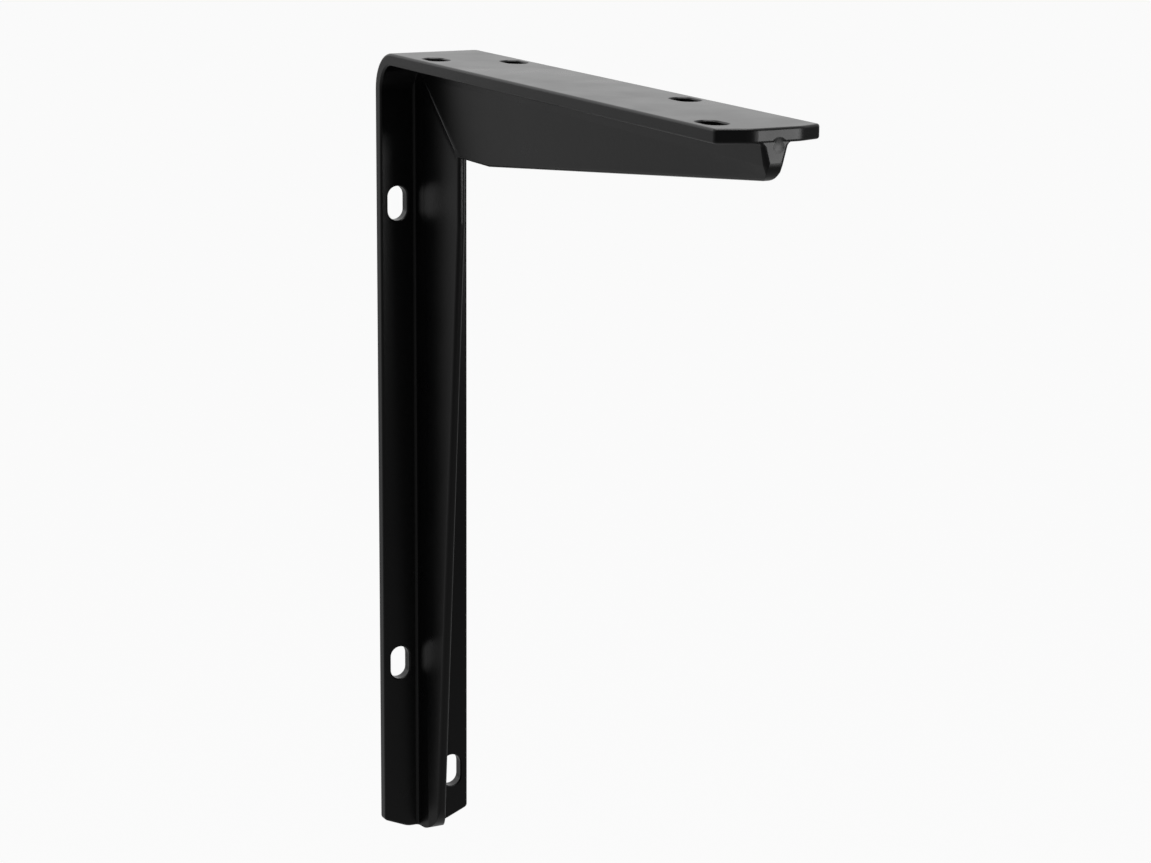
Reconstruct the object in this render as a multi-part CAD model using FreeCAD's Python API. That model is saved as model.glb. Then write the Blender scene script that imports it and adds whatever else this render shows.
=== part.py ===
"""Shelf bracket: one steel T-bar, notched, bent to an L and closed at the mitre.

Lengths are in millimetres. The wall is at +Y and the shelf lies on top, at +Z.
The origin is on the wall face, on its centre line and halfway up the leg.
"""
import FreeCAD, Part
import math
import os

# The flange: a flat strip, bent once, whose outer faces meet the wall and the shelf
leg_height = 300.0
arm_length = 250.0
strip_width = 35.0
strip_thickness = 4.5
bend_outer_radius = 14.0
edge_radius = 0.8

# The free ends of the flange: both corners cut off at a slant, the front edge eased into the cuts.
# Each cut is given as (across the strip, along it); the arm's right one is the smallest.
arm_left_cut = (10.3, 4.5)
arm_right_cut = (8.0, 2.6)
leg_cut = (9.8, 4.1)
end_side_radius = 1.6
end_front_radius = 9.0

# The rib: a V under the flange, a little right of its middle, deepest in the corner of the bracket
rib_offset = 0.5
rib_root_half_width = 4.3
rib_root_radius = 1.0
rib_nose_half_width = 1.5
rib_nose_edge_radius = 1.3
corner_depth = 36.0
corner_run = 60.0
arm_end_depth = 15.8
leg_end_depth = 17.2
rib_inner_corner_radius = 0.8

# The waist: the crease along each flank, above which the V opens wider
waist_half_width = 3.4
waist_depth = 5.6
end_waist_half_width = 3.15
end_waist_share = 0.6

# The rib's free ends, turned up in an arc. Their upright edges are rounded by (left, right) radii,
# less so at the thin nose: the arm's end leans on its left edge, the leg's on its right.
arm_rib_end_radius = 6.0
arm_end_root_half_width = 4.7
arm_end_edge_radii = (2.0, 1.3)
leg_rib_end_radius = 10.5
leg_end_root_half_width = 4.1
leg_end_edge_radii = (0.5, 4.0)
end_edge_round_limit = 0.9
rib_end_flank_clearance = 0.15
rib_end_setback = 0.2

# The shallow dish pressed into each end where the rib meets the flange
dish_radius = 3.0
dish_depth = 0.35
dish_offset = 1.8
dish_drop = 1.3

# The seam where the notched rib closes at the mitre
seam_bead_radius = 1.6
seam_bead_height = 0.15

# The screw slots: one row on each side of the rib, staggered, places measured from the outer corner
slot_width = 7.6
slot_length = 12.8
slot_rim_bevel = 0.4
slot_row_spacing = 21.6
arm_left_slots = (39.0, 232.5)
arm_right_slots = (57.0, 178.5)
leg_left_slots = (56.0, 233.0)
leg_right_slots = (40.0, 280.0)

shelf_z = leg_height / 2
half_width = strip_width / 2
TOUCHING = 1e-6


def on_arm(across, along, out):
    """Point on the arm: across it, out from the outer corner, and above the shelf face."""
    return FreeCAD.Vector(across, -along, shelf_z + out)


def on_leg(across, along, out):
    """Point on the leg: across it, down from the outer corner, and behind the wall face."""
    return FreeCAD.Vector(across, out, shelf_z - along)


def rounded_outline(corners):
    """Closed wire through (point, radius) corners, each rounded by a tangent arc."""
    ends = []
    for i, (point, radius) in enumerate(corners):
        before = corners[i - 1][0] - point
        after = corners[(i + 1) % len(corners)][0] - point
        before.normalize()
        after.normalize()
        half_angle = before.getAngle(after) / 2
        reach = radius / math.tan(half_angle)
        middle = before + after
        if radius > 0:
            middle.normalize()
            centre_distance = radius / math.sin(half_angle)
            crown = point + middle * (centre_distance - radius)
        else:
            crown = point
        ends.append((point + before * reach, crown, point + after * reach, radius))
    edges = []
    for i, (start, crown, stop, radius) in enumerate(ends):
        if radius > 0:
            edges.append(Part.Arc(start, crown, stop).toShape())
        following = ends[(i + 1) % len(ends)][0]
        if stop.distanceToPoint(following) > TOUCHING:
            edges.append(Part.LineSegment(stop, following).toShape())
    return Part.Wire(edges)


def edges_between(shape, place, low, high):
    """Edges of the shape whose ends and middle all have place(point) from low to high."""
    chosen = []
    for edge in shape.Edges:
        middle = edge.valueAt((edge.FirstParameter + edge.LastParameter) / 2)
        points = [vertex.Point for vertex in edge.Vertexes] + [middle]
        if all(low - TOUCHING <= place(point) <= high + TOUCHING for point in points):
            chosen.append(edge)
    return chosen


def slot_outline(at, across, along, half_across, out):
    """Rounded slot shape at one level, its long way along the strip."""
    half_along = half_across + (slot_length - slot_width) / 2
    corners = [
        (at(across - half_across, along - half_along, out), half_across),
        (at(across + half_across, along - half_along, out), half_across),
        (at(across + half_across, along + half_along, out), half_across),
        (at(across - half_across, along + half_along, out), half_across),
    ]
    return rounded_outline(corners)


def slot_cutter(at, across, along):
    """Slot through the flange, opened out at both rims."""
    narrow = slot_width / 2
    wide = narrow + slot_rim_bevel
    past = strip_thickness
    levels = [
        (wide + past, past),
        (wide, 0),
        (narrow, -slot_rim_bevel),
        (narrow, slot_rim_bevel - strip_thickness),
        (wide, -strip_thickness),
        (wide + past, -strip_thickness - past),
    ]
    outlines = [slot_outline(at, across, along, half_across, out) for half_across, out in levels]
    return Part.makeLoft(outlines, True, True)


def flat_flange(at, length, left_cut, right_cut, slots):
    """Straight stretch of the flange, from the bend to its cut-off end, with its slots."""
    corners = [
        (at(-half_width, bend_outer_radius, 0), 0),
        (at(-half_width, length - left_cut[1], 0), end_side_radius),
        (at(-half_width + left_cut[0], length, 0), end_front_radius),
        (at(half_width - right_cut[0], length, 0), end_front_radius),
        (at(half_width, length - right_cut[1], 0), end_side_radius),
        (at(half_width, bend_outer_radius, 0), 0),
    ]
    inward = at(0, 0, -strip_thickness) - at(0, 0, 0)
    flange = Part.Face(rounded_outline(corners)).extrude(inward)
    out_direction = -inward.normalize()
    run_direction = (at(0, 1, 0) - at(0, 0, 0)).normalize()
    outer_level = at(0, 0, 0).dot(out_direction)
    joint_level = at(0, bend_outer_radius, 0).dot(run_direction)

    def height(point):
        return point.dot(out_direction) - outer_level

    def run(point):
        return point.dot(run_direction) - joint_level

    joint = edges_between(flange, run, 0, 0)
    rims = edges_between(flange, height, 0, 0)
    rims += edges_between(flange, height, -strip_thickness, -strip_thickness)
    rims = [rim for rim in rims if not any(rim.isSame(edge) for edge in joint)]
    flange = flange.makeFillet(edge_radius, rims)
    return flange.cut([slot_cutter(at, across, along) for across, along in slots])


def bend():
    """Quarter turn of the flange between the leg and the arm."""
    corners = [
        (on_leg(-half_width, bend_outer_radius, 0), edge_radius),
        (on_leg(half_width, bend_outer_radius, 0), edge_radius),
        (on_leg(half_width, bend_outer_radius, -strip_thickness), edge_radius),
        (on_leg(-half_width, bend_outer_radius, -strip_thickness), edge_radius),
    ]
    section = Part.Face(rounded_outline(corners))
    centre = on_leg(0, bend_outer_radius, -bend_outer_radius)
    return section.revolve(centre, FreeCAD.Vector(1, 0, 0), 90)


def rib_section(at, along, depth, root_half_width, waist):
    """Section of the rib's V, from inside the flange to its rounded nose."""
    waist_half, waist_below = waist
    crease = -strip_thickness - waist_below
    middle = rib_offset
    wing = root_half_width + 2 * rib_root_radius
    corners = [
        (at(middle - wing, along, 0), 0),
        (at(middle - wing, along, -strip_thickness), 0),
        (at(middle - root_half_width, along, -strip_thickness), rib_root_radius),
        (at(middle - waist_half, along, crease), 0),
        (at(middle - rib_nose_half_width, along, -depth), rib_nose_edge_radius),
        (at(middle + rib_nose_half_width, along, -depth), rib_nose_edge_radius),
        (at(middle + waist_half, along, crease), 0),
        (at(middle + root_half_width, along, -strip_thickness), rib_root_radius),
        (at(middle + wing, along, -strip_thickness), 0),
        (at(middle + wing, along, 0), 0),
    ]
    return rounded_outline(corners)


def rib_side_view(at, end, end_depth, end_radius):
    """Side view of one limb, as wide as the strip: its free end turns up in an arc."""
    buried = -strip_thickness / 2
    below = -corner_depth - strip_thickness
    slope = (corner_depth - end_depth) / (end - corner_run)
    corners = [
        (at(-half_width, 0, buried), 0),
        (at(-half_width, end, buried), 0),
        (at(-half_width, end, -end_depth), end_radius),
        (at(-half_width, corner_run, -end_depth - slope * (end - corner_run)), 0),
        (at(-half_width, 0, below), 0),
    ]
    return Part.Face(rounded_outline(corners)).extrude(FreeCAD.Vector(strip_width, 0, 0))


def rib_end_level(at, end, out, half_across, edge_radii):
    """Plan of the rib's free end at one level, its two upright edges rounded."""
    clear = half_across + rib_end_flank_clearance
    left, right = rib_offset - clear, rib_offset + clear
    left_round, right_round = [min(radius, end_edge_round_limit * clear) for radius in edge_radii]
    back = end - 2 * max(edge_radii)
    far_back = back - half_width
    corners = [
        (at(left - half_width, -strip_thickness, out), 0),
        (at(left - half_width, far_back, out), 0),
        (at(left, back, out), 0),
        (at(left, end, out), left_round),
        (at(right, end, out), right_round),
        (at(right, back, out), 0),
        (at(right + half_width, far_back, out), 0),
        (at(right + half_width, -strip_thickness, out), 0),
    ]
    return rounded_outline(corners)


def rib_limb(at, length, end_depth, end_radius, end_root_half_width, end_edge_radii):
    """Rib of one limb: even in the corner of the bracket, then tapering to a rounded end."""
    end = length - rib_end_setback
    waist = (waist_half_width, waist_depth)
    end_waist = (end_waist_half_width, end_waist_share * (end_depth - strip_thickness))
    sections = [
        rib_section(at, 0, corner_depth, rib_root_half_width, waist),
        rib_section(at, corner_run, corner_depth, rib_root_half_width, waist),
        rib_section(at, end, end_depth, end_root_half_width, end_waist),
    ]
    half_widths = [
        (0, end_root_half_width + rib_root_radius),
        (-strip_thickness, end_root_half_width + rib_root_radius),
        (-strip_thickness - rib_root_radius, end_root_half_width),
        (-strip_thickness - end_waist[1], end_waist_half_width),
        (-end_depth, rib_nose_half_width),
        (-corner_depth - strip_thickness, rib_nose_half_width),
    ]
    levels = [rib_end_level(at, end, out, half, end_edge_radii) for out, half in half_widths]
    limb = Part.makeLoft(sections, True, True)
    limb = limb.common(rib_side_view(at, end, end_depth, end_radius))
    return limb.common(Part.makeLoft(levels, True, True)).removeSplitter()


def seam_bead():
    """Low bead along the mitre on both flanks of the rib, from its waist to above its nose."""
    beads = []
    waist = strip_thickness + waist_depth
    low = corner_depth - 2 * rib_nose_edge_radius
    share = (low - waist) / (corner_depth - waist)
    low_half_width = waist_half_width + share * (rib_nose_half_width - waist_half_width)
    for hand in (-1, 1):
        sunk = hand * (seam_bead_height - seam_bead_radius)
        start = on_leg(rib_offset + hand * waist_half_width + sunk, waist, -waist)
        stop = on_leg(rib_offset + hand * low_half_width + sunk, low, -low)
        axis = stop - start
        bead = Part.makeCylinder(seam_bead_radius, axis.Length, start, axis)
        ends = [Part.makeSphere(seam_bead_radius, point) for point in (start, stop)]
        beads.append(bead.fuse(ends))
    return beads


def rib_corner_outline():
    """Side view of the rib with its outer corner turned to follow the bend, inside the flange."""
    middle = strip_thickness / 2
    beyond = -half_width

    def side(from_wall, from_shelf):
        return FreeCAD.Vector(beyond, -from_wall, shelf_z - from_shelf)

    corners = [
        (side(middle, leg_height), 0),
        (side(middle, middle), bend_outer_radius - middle),
        (side(arm_length, middle), 0),
        (side(arm_length, corner_depth), 0),
        (side(corner_depth, corner_depth), rib_inner_corner_radius),
        (side(corner_depth, leg_height), 0),
    ]
    return Part.Face(rounded_outline(corners)).extrude(FreeCAD.Vector(strip_width, 0, 0))


def rib():
    """The whole rib: two tapering limbs, mitred where they cross, with the seam bead."""
    arm_rib = rib_limb(
        on_arm, arm_length, arm_end_depth, arm_rib_end_radius, arm_end_root_half_width, arm_end_edge_radii
    )
    leg_rib = rib_limb(
        on_leg, leg_height, leg_end_depth, leg_rib_end_radius, leg_end_root_half_width, leg_end_edge_radii
    )
    both = arm_rib.fuse([leg_rib] + seam_bead())
    return both.common(rib_corner_outline()).removeSplitter()


def end_dish(at, length):
    """Cutter for the shallow round dish in the end, where the rib leaves the flange."""
    ball_radius = (dish_radius ** 2 + dish_depth ** 2) / (2 * dish_depth)
    centre = at(dish_offset, length + ball_radius - dish_depth, -strip_thickness - dish_drop)
    return Part.makeSphere(ball_radius, centre)


def bracket():
    """Flange, bend and rib as the one piece they are."""
    half_spacing = slot_row_spacing / 2
    arm_slots = [(-half_spacing, place) for place in arm_left_slots]
    arm_slots += [(half_spacing, place) for place in arm_right_slots]
    leg_slots = [(-half_spacing, place) for place in leg_left_slots]
    leg_slots += [(half_spacing, place) for place in leg_right_slots]
    arm = flat_flange(on_arm, arm_length, arm_left_cut, arm_right_cut, arm_slots)
    leg = flat_flange(on_leg, leg_height, leg_cut, leg_cut, leg_slots)
    whole = arm.fuse([bend(), leg, rib()])
    dishes = [end_dish(on_arm, arm_length), end_dish(on_leg, leg_height)]
    return whole.cut(dishes).removeSplitter()


os.makedirs("parts", exist_ok=True)
whole = bracket()
whole.exportStep("parts/bracket.step")
print("bracket", whole.isValid(), len(whole.Solids), round(whole.Volume, 1), len(whole.Faces))
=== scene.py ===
"""Shelf bracket in black powder coat: its finish, and the white studio it is looked at in.

Lengths are in metres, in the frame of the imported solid: the wall is at +Y and the shelf lies
on top, at +Z. The bracket's one solid comes with the frame and keeps its shape.
"""

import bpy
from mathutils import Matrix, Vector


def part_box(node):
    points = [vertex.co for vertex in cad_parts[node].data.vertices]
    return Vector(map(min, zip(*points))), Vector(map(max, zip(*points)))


bl_info = {
    "name": "Shelf bracket studio",
    "version": (1, 0, 0),
    "blender": (4, 5, 0),
    "location": "3D View > Sidebar > Bracket",
    "description": "Coats a steel shelf bracket in satin black powder and lights it in a white studio",
    "category": "Material",
}

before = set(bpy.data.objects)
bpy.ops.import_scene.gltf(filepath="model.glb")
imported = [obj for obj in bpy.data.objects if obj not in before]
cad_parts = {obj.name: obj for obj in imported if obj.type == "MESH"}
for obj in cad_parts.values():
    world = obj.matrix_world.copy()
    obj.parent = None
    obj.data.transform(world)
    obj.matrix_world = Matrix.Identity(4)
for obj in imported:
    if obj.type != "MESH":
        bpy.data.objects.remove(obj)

import math

import bpy
from bpy.props import FloatProperty, FloatVectorProperty, PointerProperty
from mathutils import Matrix, Vector

BRACKET = "bracket"
MM = 0.001
WHITE = (1.0, 1.0, 1.0, 1.0)
SENSOR_WIDTH_MM = 36.0

# Polyester resin has about 1.5; the satin skin's sheen is matched a little lower
COAT_IOR = 1.42

# The gloss changes slowly over the skin, in patches this many orange peel waves wide
WAVES_PER_PATCH = 9

# How far the roughness falls and rises from patch to patch
ROUGHNESS_FALL, ROUGHNESS_RISE = 0.02, 0.03

# How far below the shelf face the weld along the rib's mitre begins
WELD_TOP = 8 * MM

# How far the floor reaches from the bracket, past what the camera sees of it
FLOOR_REACH = 15.0

# Between which places, going back past the wall face, the floor turns white in gloss
SWEEP_FROM, SWEEP_TO = -1.0, 0.4

# Where the surroundings are brightest in gloss: behind the bracket, to the right and a little up
BRIGHT_SIDE = (0.3, 0.9, 0.25)

# How well a direction agrees with that side where the white is at its dimmest and brightest
DIMMEST_AT, BRIGHTEST_AT = -0.9, 0.6

# The large soft box overhead
TOP_BOX_PLACE = Vector((-0.1, -0.1, 1.3))
TOP_BOX_WIDTH = 0.9

# The small soft box with a grid, placed from the shelf arm's end, which it faces
END_BOX_AWAY = Vector((0.28, -0.418, -0.055))
END_BOX_WIDTH = 0.22
END_BOX_SPREAD = math.radians(30)

CAD_LOW, CAD_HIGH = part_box(BRACKET)
CAD_CENTRE = (CAD_LOW + CAD_HIGH) / 2


def from_hex(code):
    """Linear colour, with alpha, of an sRGB hex value."""
    channels = [int(code[i:i + 2], 16) / 255 for i in (1, 3, 5)]
    linear = [c / 12.92 if c <= 0.04045 else ((c + 0.055) / 1.055) ** 2.4 for c in channels]
    return (*linear, 1.0)


class BracketCoat(bpy.types.PropertyGroup):
    """The powder coat on the steel."""

    colour: FloatVectorProperty(
        name="Coat colour",
        description="Colour of the powder itself, under its gloss",
        subtype="COLOR",
        size=4,
        min=0.0,
        max=1.0,
        default=from_hex("#050506"),
    )
    roughness: FloatProperty(
        name="Roughness",
        description="How far the satin skin spreads a reflection",
        subtype="FACTOR",
        min=0.0,
        max=1.0,
        default=0.29,
    )
    peel_width: FloatProperty(
        name="Orange peel width",
        description="Distance from crest to crest of the skin's slow waves, 1 to 3 mm on real powder",
        subtype="DISTANCE",
        unit="LENGTH",
        min=0.0002,
        default=2.2 * MM,
    )
    peel_height: FloatProperty(
        name="Orange peel height",
        description="Height of the skin's slow waves",
        subtype="DISTANCE",
        unit="LENGTH",
        min=0.0,
        default=0.012 * MM,
    )
    weld_width: FloatProperty(
        name="Weld width",
        description="Width of the smoothed weld along the mitre of the rib, under the coat",
        subtype="DISTANCE",
        unit="LENGTH",
        min=0.0001,
        default=4.4 * MM,
    )
    weld_height: FloatProperty(
        name="Weld height",
        description="Height of the smoothed weld along the mitre of the rib",
        subtype="DISTANCE",
        unit="LENGTH",
        min=0.0,
        default=0.1 * MM,
    )
    edge_radius: FloatProperty(
        name="Edge softness",
        description="Radius that the coat builds up over a sharp edge of the steel",
        subtype="DISTANCE",
        unit="LENGTH",
        min=0.0,
        default=0.35 * MM,
    )


class BracketStudio(bpy.types.PropertyGroup):
    """The white studio: floor, backdrop light, lamps and camera."""

    floor_colour: FloatVectorProperty(
        name="Floor colour",
        description="Colour of the pale floor",
        subtype="COLOR",
        size=4,
        min=0.0,
        max=1.0,
        default=from_hex("#cacaca"),
    )
    floor_drop: FloatProperty(
        name="Floor drop",
        description="How far the floor lies under the lowest point of the bracket",
        subtype="DISTANCE",
        unit="LENGTH",
        min=0.0,
        default=0.35,
    )
    floor_white: FloatProperty(
        name="Floor white",
        description="How much of the floor's look is plain white, over its own lit and shadowed colour",
        subtype="FACTOR",
        min=0.0,
        max=1.0,
        default=0.95,
    )
    floor_white_in_gloss: FloatProperty(
        name="Floor white in gloss",
        description="The same share for the floor behind the bracket, seen in a glossy or clear surface",
        subtype="FACTOR",
        min=0.0,
        max=1.0,
        default=0.25,
    )
    fill_strength: FloatProperty(
        name="Fill light",
        description="Strength of the white surroundings as a light",
        min=0.0,
        default=0.2,
    )
    bright_side_strength: FloatProperty(
        name="Bright side",
        description="Strength, in gloss, of the surroundings behind the bracket",
        min=0.0,
        default=1.0,
    )
    dim_side_strength: FloatProperty(
        name="Dim side",
        description="Strength, in gloss, of the surroundings on the camera's side of the bracket",
        min=0.0,
        default=0.05,
    )
    top_box_power: FloatProperty(
        name="Top soft box",
        description="Power of the large soft box overhead",
        subtype="POWER",
        unit="POWER",
        min=0.0,
        default=10.0,
    )
    end_box_power: FloatProperty(
        name="End soft box",
        description="Power of the small soft box that lights the shelf arm's end",
        subtype="POWER",
        unit="POWER",
        min=0.0,
        default=0.036,
    )
    lens: FloatProperty(
        name="Focal length",
        description="Focal length of the camera, in millimetres on a 36 mm wide sensor",
        min=1.0,
        default=88.78,
    )
    distance: FloatProperty(
        name="Camera distance",
        description="From the camera to the point it looks at",
        subtype="DISTANCE",
        unit="LENGTH",
        min=0.1,
        default=1.0395,
    )
    azimuth: FloatProperty(
        name="Camera azimuth",
        description="Turn of the camera's line of sight from straight at the wall towards +X",
        subtype="ANGLE",
        default=math.radians(27.552),
    )
    elevation: FloatProperty(
        name="Camera elevation",
        description="How steeply the camera looks down",
        subtype="ANGLE",
        default=math.radians(13.355),
    )
    roll: FloatProperty(
        name="Camera roll",
        description="Turn of the camera about its line of sight",
        subtype="ANGLE",
        default=math.radians(0.497),
    )
    aim_right: FloatProperty(
        name="Aim to the right",
        description="How far right of the shelf face's wall edge the camera aims, across its view",
        subtype="DISTANCE",
        unit="LENGTH",
        default=0.05866,
    )
    aim_down: FloatProperty(
        name="Aim below",
        description="How far below the shelf face's wall edge the camera aims, up and down its view",
        subtype="DISTANCE",
        unit="LENGTH",
        default=0.13988,
    )


def add_node(tree, kind, settings=None, values=None, links=None):
    """New shader node with its settings, its constant inputs, and links from other nodes' sockets."""
    node = tree.nodes.new(kind)
    for name, value in (settings or {}).items():
        setattr(node, name, value)
    for name, value in (values or {}).items():
        node.inputs[name].default_value = value
    for name, socket in (links or {}).items():
        tree.links.new(socket, node.inputs[name])
    return node


def new_material(name):
    """Empty node material with its output node."""
    material = bpy.data.materials.new(name)
    material.use_nodes = True
    material.node_tree.nodes.clear()
    output = add_node(material.node_tree, "ShaderNodeOutputMaterial")
    return material, material.node_tree, output


def seen_in_gloss(tree, ray):
    """1 where a glossy or clear surface sees the material, else 0."""
    either = add_node(
        tree,
        "ShaderNodeMath",
        {"operation": "MAXIMUM"},
        None,
        {0: ray.outputs["Is Glossy Ray"], 1: ray.outputs["Is Transmission Ray"]},
    )
    return either.outputs["Value"]


def weld_bulge(tree, coat, place):
    """Height, from 0 to 1, of the ground weld along the mitre where the rib's two limbs meet."""
    xyz = add_node(tree, "ShaderNodeSeparateXYZ", None, None, {"Vector": place})
    below_shelf = add_node(
        tree, "ShaderNodeMath", {"operation": "SUBTRACT"}, {0: CAD_HIGH.z}, {1: xyz.outputs["Z"]}
    )
    # The mitre runs at 45 degrees, where the depth below the shelf equals the way out from the
    # wall, so a step straight off it changes their difference by root two times its length
    past_mitre = add_node(
        tree,
        "ShaderNodeMath",
        {"operation": "ADD"},
        None,
        {0: below_shelf.outputs["Value"], 1: xyz.outputs["Y"]},
    )
    off_mitre = add_node(
        tree, "ShaderNodeMath", {"operation": "ABSOLUTE"}, None, {0: past_mitre.outputs["Value"]}
    )
    crown = add_node(
        tree,
        "ShaderNodeMapRange",
        {"interpolation_type": "SMOOTHSTEP"},
        {"From Min": coat.weld_width / math.sqrt(2), "From Max": 0.0, "To Min": 0.0, "To Max": 1.0},
        {"Value": off_mitre.outputs["Value"]},
    )
    on_rib = add_node(
        tree,
        "ShaderNodeMapRange",
        {"interpolation_type": "SMOOTHSTEP"},
        {"From Min": WELD_TOP, "From Max": WELD_TOP + coat.weld_width, "To Min": 0.0, "To Max": 1.0},
        {"Value": below_shelf.outputs["Value"]},
    )
    bulge = add_node(
        tree,
        "ShaderNodeMath",
        {"operation": "MULTIPLY"},
        None,
        {0: crown.outputs["Result"], 1: on_rib.outputs["Result"]},
    )
    return bulge.outputs["Value"]


def powder_coat(coat):
    """Satin black polyester powder coat, sprayed on dry and melted in an oven.

    The melt leaves an even plastic skin: black, with a soft white sheen at a grazing look,
    slow orange peel waves in that sheen, and edges slightly rounder than the steel's.
    """
    material, tree, output = new_material("satin_black_powder_coat")
    place = add_node(tree, "ShaderNodeTexCoord").outputs["Object"]
    edges = add_node(tree, "ShaderNodeBevel", {"samples": 6}, {"Radius": coat.edge_radius})
    waves_per_metre = 1 / coat.peel_width
    peel = add_node(
        tree,
        "ShaderNodeTexNoise",
        {"noise_dimensions": "3D"},
        {"Scale": waves_per_metre, "Detail": 2.0, "Roughness": 0.45},
        {"Vector": place},
    )
    peeled = add_node(
        tree,
        "ShaderNodeBump",
        None,
        {"Strength": 1.0, "Distance": coat.peel_height},
        {"Height": peel.outputs["Fac"], "Normal": edges.outputs["Normal"]},
    )
    skin = add_node(
        tree,
        "ShaderNodeBump",
        None,
        {"Strength": 1.0, "Distance": coat.weld_height},
        {"Height": weld_bulge(tree, coat, place), "Normal": peeled.outputs["Normal"]},
    )
    patches = add_node(
        tree,
        "ShaderNodeTexNoise",
        {"noise_dimensions": "3D"},
        {"Scale": waves_per_metre / WAVES_PER_PATCH, "Detail": 3.0, "Roughness": 0.5},
        {"Vector": place},
    )
    roughness = add_node(
        tree,
        "ShaderNodeMapRange",
        None,
        {
            "From Min": 0.3,
            "From Max": 0.7,
            "To Min": coat.roughness - ROUGHNESS_FALL,
            "To Max": coat.roughness + ROUGHNESS_RISE,
        },
        {"Value": patches.outputs["Fac"]},
    )
    skin_shader = add_node(
        tree,
        "ShaderNodeBsdfPrincipled",
        None,
        {"Base Color": coat.colour, "IOR": COAT_IOR},
        {"Roughness": roughness.outputs["Result"], "Normal": skin.outputs["Normal"]},
    )
    tree.links.new(skin_shader.outputs["BSDF"], output.inputs["Surface"])
    return material


def pale_floor(studio):
    """Matt white painted board: pale and even, and it keeps the bracket's soft shadow.

    In gloss it is whiter behind the bracket, as a board that sweeps up there is.
    """
    material, tree, output = new_material("matt_white_board")
    board = add_node(
        tree,
        "ShaderNodeBsdfPrincipled",
        None,
        {"Base Color": studio.floor_colour, "Roughness": 0.9, "Specular IOR Level": 0.1},
    )
    glow = add_node(tree, "ShaderNodeEmission", None, {"Color": WHITE, "Strength": 1.0})
    ray = add_node(tree, "ShaderNodeLightPath")
    spot = add_node(tree, "ShaderNodeNewGeometry")
    xyz = add_node(tree, "ShaderNodeSeparateXYZ", None, None, {"Vector": spot.outputs["Position"]})
    sweep = add_node(
        tree,
        "ShaderNodeMapRange",
        {"interpolation_type": "SMOOTHSTEP"},
        {
            "From Min": SWEEP_FROM,
            "From Max": SWEEP_TO,
            "To Min": 0.0,
            "To Max": studio.floor_white_in_gloss,
        },
        {"Value": xyz.outputs["Y"]},
    )
    white_in_gloss = add_node(
        tree,
        "ShaderNodeMath",
        {"operation": "MULTIPLY"},
        None,
        {0: seen_in_gloss(tree, ray), 1: sweep.outputs["Result"]},
    )
    white_share = add_node(
        tree,
        "ShaderNodeMath",
        {"operation": "MULTIPLY_ADD"},
        {1: studio.floor_white},
        {0: ray.outputs["Is Camera Ray"], 2: white_in_gloss.outputs["Value"]},
    )
    both = add_node(
        tree,
        "ShaderNodeMixShader",
        None,
        None,
        {"Fac": white_share.outputs["Value"], 1: board.outputs["BSDF"], 2: glow.outputs["Emission"]},
    )
    tree.links.new(both.outputs["Shader"], output.inputs["Surface"])
    return material


def white_surroundings(studio):
    """World that is white to look at, a gentle fill as a light, and in gloss white behind the bracket.

    In gloss it grows dim towards the side that the picture is taken from, as a studio does.
    """
    world = bpy.data.worlds.new("white_surroundings")
    world.use_nodes = True
    tree = world.node_tree
    tree.nodes.clear()
    ray = add_node(tree, "ShaderNodeLightPath")
    direction = add_node(tree, "ShaderNodeTexCoord")
    behind = add_node(
        tree,
        "ShaderNodeVectorMath",
        {"operation": "DOT_PRODUCT"},
        {1: BRIGHT_SIDE},
        {0: direction.outputs["Generated"]},
    )
    in_gloss = add_node(
        tree,
        "ShaderNodeMapRange",
        {"interpolation_type": "SMOOTHSTEP"},
        {
            "From Min": DIMMEST_AT,
            "From Max": BRIGHTEST_AT,
            "To Min": studio.dim_side_strength,
            "To Max": studio.bright_side_strength,
        },
        {"Value": behind.outputs["Value"]},
    )
    as_light = add_node(
        tree,
        "ShaderNodeMapRange",
        None,
        {"To Min": studio.fill_strength, "To Max": 1.0},
        {"Value": ray.outputs["Is Camera Ray"]},
    )
    strength = add_node(
        tree,
        "ShaderNodeMix",
        {"data_type": "FLOAT"},
        None,
        {
            "Factor": seen_in_gloss(tree, ray),
            "A": as_light.outputs["Result"],
            "B": in_gloss.outputs["Result"],
        },
    )
    sky = add_node(
        tree,
        "ShaderNodeBackground",
        None,
        {"Color": WHITE},
        {"Strength": strength.outputs["Result"]},
    )
    add_node(tree, "ShaderNodeOutputWorld", None, None, {"Surface": sky.outputs["Background"]})
    return world


def add_soft_box(name, place, target, width, power, spread=math.pi):
    """Square soft box lamp that faces its target; a grid in front narrows its spread."""
    lamp = bpy.data.lights.new(name, "AREA")
    lamp.shape = "SQUARE"
    lamp.size = width
    lamp.energy = power
    lamp.spread = spread
    box = bpy.data.objects.new(name, lamp)
    box.location = place
    box.rotation_euler = (target - place).to_track_quat("-Z", "Y").to_euler()
    bpy.context.scene.collection.objects.link(box)
    return box


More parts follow.
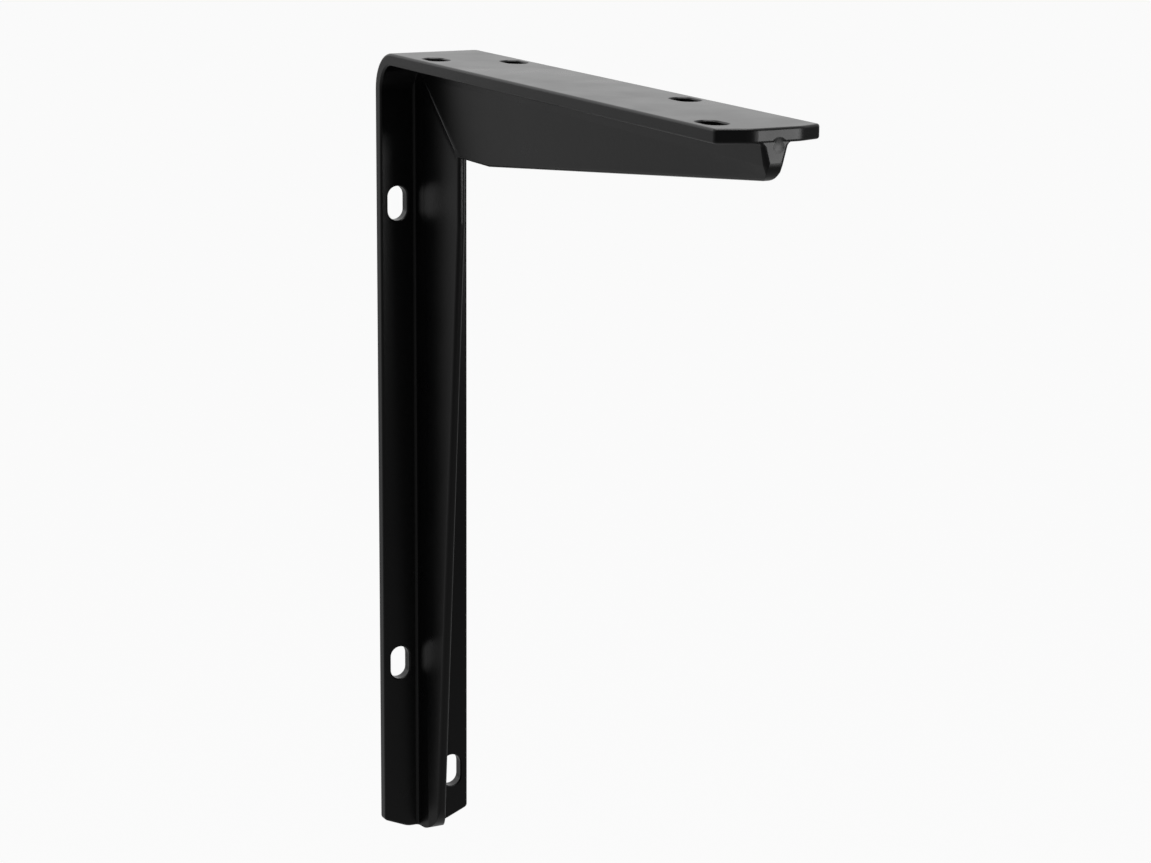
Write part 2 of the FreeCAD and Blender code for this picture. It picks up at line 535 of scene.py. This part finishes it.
class BRACKET_OT_camera(bpy.types.Operator):
    """Place the camera where the bracket is looked at from the front left, a little above it"""

    bl_idname = "bracket.camera"
    bl_label = "Place the camera"

    def execute(self, context):
        studio = context.scene.bracket_studio
        turn, dip, roll = studio.azimuth, studio.elevation, studio.roll
        forward = Vector(
            (math.sin(turn) * math.cos(dip), math.cos(turn) * math.cos(dip), -math.sin(dip))
        )
        level_right = Vector((math.cos(turn), -math.sin(turn), 0.0))
        level_up = level_right.cross(forward)
        right = level_right * math.cos(roll) + level_up * math.sin(roll)
        up = right.cross(forward)
        wall_edge = Vector((0.0, CAD_HIGH.y, CAD_HIGH.z))
        aim = wall_edge + level_right * studio.aim_right - level_up * studio.aim_down
        data = bpy.data.cameras.new("camera")
        data.sensor_width = SENSOR_WIDTH_MM
        data.lens = studio.lens
        camera = bpy.data.objects.new("camera", data)
        camera.matrix_world = Matrix.Translation(aim - forward * studio.distance) @ Matrix(
            (right, up, -forward)
        ).transposed().to_4x4()
        context.scene.collection.objects.link(camera)
        context.scene.camera = camera
        return {"FINISHED"}


class BRACKET_OT_coat(bpy.types.Operator):
    """Give the bracket's steel its satin black powder coat"""

    bl_idname = "bracket.coat"
    bl_label = "Coat the bracket"

    def execute(self, context):
        material = powder_coat(context.scene.bracket_coat)
        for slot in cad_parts[BRACKET].material_slots:
            slot.material = material
        return {"FINISHED"}


class BRACKET_OT_studio(bpy.types.Operator):
    """Build the pale floor, the white surroundings and the soft boxes"""

    bl_idname = "bracket.studio"
    bl_label = "Build the studio"

    def execute(self, context):
        studio = context.scene.bracket_studio
        scene = context.scene
        scene.view_settings.view_transform = "Standard"
        scene.world = white_surroundings(studio)
        level = CAD_LOW.z - studio.floor_drop
        sides = ((-1, -1), (1, -1), (1, 1), (-1, 1))
        corners = [(x * FLOOR_REACH, y * FLOOR_REACH, level) for x, y in sides]
        mesh = bpy.data.meshes.new("floor")
        mesh.from_pydata(corners, [], [(0, 1, 2, 3)])
        mesh.materials.append(pale_floor(studio))
        floor = bpy.data.objects.new("floor", mesh)
        scene.collection.objects.link(floor)
        add_soft_box("top_soft_box", TOP_BOX_PLACE, CAD_CENTRE, TOP_BOX_WIDTH, studio.top_box_power)
        arm_end = Vector((0.0, CAD_LOW.y, CAD_HIGH.z))
        add_soft_box(
            "end_soft_box",
            arm_end + END_BOX_AWAY,
            arm_end,
            END_BOX_WIDTH,
            studio.end_box_power,
            END_BOX_SPREAD,
        )
        return {"FINISHED"}


class BRACKET_PT_studio(bpy.types.Panel):
    """Sidebar panel with the coat, the studio and the steps that make them"""

    bl_idname = "BRACKET_PT_studio"
    bl_label = "Shelf bracket"
    bl_space_type = "VIEW_3D"
    bl_region_type = "UI"
    bl_category = "Bracket"

    def draw(self, context):
        for group in (context.scene.bracket_coat, context.scene.bracket_studio):
            box = self.layout.box()
            for name in group.__annotations__:
                box.prop(group, name)
        for operator in OPERATORS:
            self.layout.operator(operator.bl_idname)


GROUPS = (BracketCoat, BracketStudio)
OPERATORS = (BRACKET_OT_camera, BRACKET_OT_coat, BRACKET_OT_studio)
CLASSES = GROUPS + OPERATORS + (BRACKET_PT_studio,)


def register():
    for cls in CLASSES:
        bpy.utils.register_class(cls)
    bpy.types.Scene.bracket_coat = PointerProperty(type=BracketCoat)
    bpy.types.Scene.bracket_studio = PointerProperty(type=BracketStudio)


def unregister():
    del bpy.types.Scene.bracket_studio
    del bpy.types.Scene.bracket_coat
    for cls in reversed(CLASSES):
        bpy.utils.unregister_class(cls)


def main():
    """Register the classes and make everything in order."""
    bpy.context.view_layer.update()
    register()
    bpy.ops.bracket.camera()
    bpy.ops.bracket.coat()
    bpy.ops.bracket.studio()


if __name__ == "__main__":
    main()
